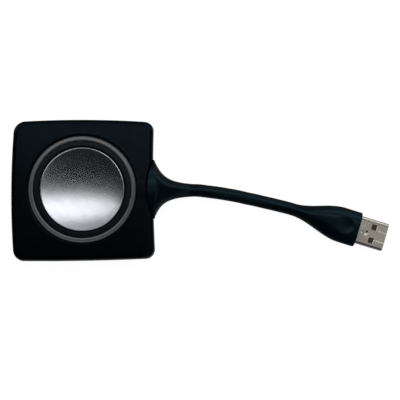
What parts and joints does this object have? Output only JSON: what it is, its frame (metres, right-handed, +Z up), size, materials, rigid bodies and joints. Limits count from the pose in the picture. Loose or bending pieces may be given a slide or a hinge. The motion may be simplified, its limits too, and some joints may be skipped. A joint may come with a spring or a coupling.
{
  "type": "wireless presentation dongle",
  "caption": "Square soft-touch dongle with a large lit push button and a short captive cable that ends in a USB-A plug.",
  "frame": {"origin": "centre of the underside of the body, on the surface that the dongle lies on", "axes": "+Z up through the button, +X towards the cable and its plug, +Y to the side that the plug turns away from"},
  "size_m": [0.1607, 0.0594, 0.0163],
  "materials": {
    "soft_touch_top": "soft-touch black coating, fine grain",
    "soft_touch_base": "soft-touch black coating, fine grain",
    "pad_foam": "matte",
    "screw_steel": "satin",
    "light_guide": "frosted translucent grey",
    "blasted_aluminium": "bead-blasted with a cut bright bevel",
    "glue_film": "matte",
    "carrier_black": "satin",
    "frame_grey": "matte",
    "board_green": "satin solder mask",
    "led_resin": "glossy",
    "flex_amber": "satin film",
    "connector_cream": "matte",
    "chip_black": "matte",
    "tin_sheet": "satin",
    "coil_grey": "matte",
    "capacitor_tan": "matte",
    "radio_blue": "satin solder mask",
    "gold_plate": "bright",
    "lead_grey": "satin",
    "wire_colours": "satin",
    "cable_jacket": "satin",
    "plug_nickel": "nickel plated sheet",
    "tongue_black": "matte"
  },
  "bodies": {
    "root": {"top_cover": "soft_touch_top", "bottom_cover": "soft_touch_base", "foot_pad": "pad_foam", "case_screws": "screw_steel", "light_ring": "light_guide", "button_frame": "frame_grey", "light_board": "board_green", "ring_lights": "led_resin", "light_flex": "flex_amber", "flex_sockets": "connector_cream", "main_board": "board_green", "board_screws": "screw_steel", "switch_base": "chip_black", "switch_cover": "tin_sheet", "switch_dome": "tin_sheet", "processor": "chip_black", "memory_chips": "chip_black", "flash_chip": "chip_black", "crystal": "tin_sheet", "power_coils": "coil_grey", "capacitors": "capacitor_tan", "radio_board": "radio_blue", "radio_shield": "tin_sheet", "antenna_front": "flex_amber", "antenna_back": "flex_amber", "coax_plugs": "gold_plate", "coax_leads": "lead_grey", "wire_header": "connector_cream", "wire_plug": "connector_cream", "usb_wires": "wire_colours", "cable_core": "lead_grey", "cable_clamp": "frame_grey", "clamp_screws": "screw_steel", "cable_boot": "cable_jacket", "cable": "cable_jacket", "plug_grip": "cable_jacket", "plug_core": "chip_black", "usb_shell": "plug_nickel", "usb_tongue": "tongue_black", "usb_contacts": "gold_plate"},
    "button": {"button_disc": "blasted_aluminium", "disc_glue": "glue_film", "button_carrier": "carrier_black"},
    "plunger": {"switch_plunger": "connector_cream"}
  },
  "joints": [
    {"name": "button_press", "type": "slide", "parent": "root", "child": "button", "axis": [0, 0, -1], "range_m": [0, 0.0004], "stiffness_N_per_m": 4000},
    {"name": "plunger_press", "type": "slide", "parent": "root", "child": "plunger", "axis": [0, 0, -1], "range_m": [0, 0.0004], "deforming": ["switch_dome"]}
  ],
  "couplings": [
    {"joint": "plunger_press", "follows": "button_press", "ratio": 1}
  ]
}
